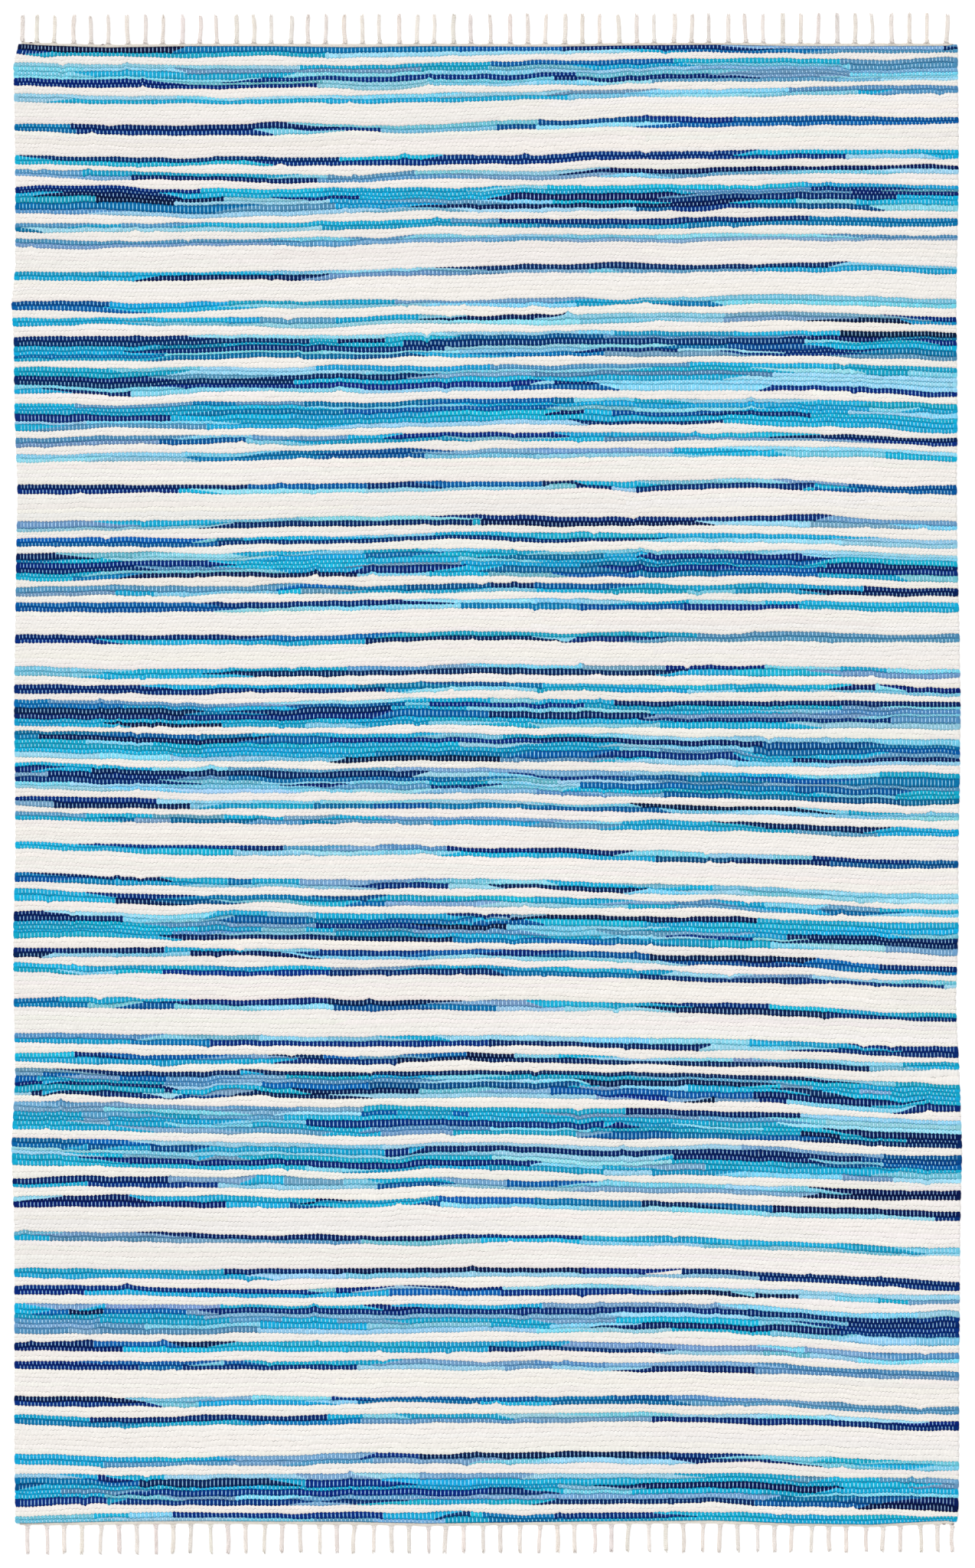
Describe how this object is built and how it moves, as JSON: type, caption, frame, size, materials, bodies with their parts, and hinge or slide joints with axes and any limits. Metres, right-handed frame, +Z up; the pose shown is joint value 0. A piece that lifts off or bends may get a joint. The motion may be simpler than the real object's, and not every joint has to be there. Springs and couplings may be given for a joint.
{
  "type": "rag rug",
  "caption": "Flat rectangular hit-and-miss rag rug in blue and cream with a narrow woven heading and knotted cotton fringe at both ends.",
  "frame": {"origin": "on the floor plane, under the middle of the rug's overall box, fringe included", "axes": "+Z up out of the woven face; +Y along the rug's length to its far end; +X across its width"},
  "size_m": [1.5364, 2.4926, 0.006],
  "materials": {
    "rag_weave": "ribbed weave of cotton rag strips in navy, blues, aqua and cream over a thin white cotton warp, matt",
    "heading_yarn": "fine natural cotton yarn, plain woven, matt",
    "fringe_yarn": "plied natural cotton warp ends knotted in groups, matt"
  },
  "bodies": {
    "root": {"rug_body": "rag_weave", "heading_top": "heading_yarn", "heading_bottom": "heading_yarn", "fringe_top": "fringe_yarn", "fringe_bottom": "fringe_yarn"}
  },
  "joints": []
}
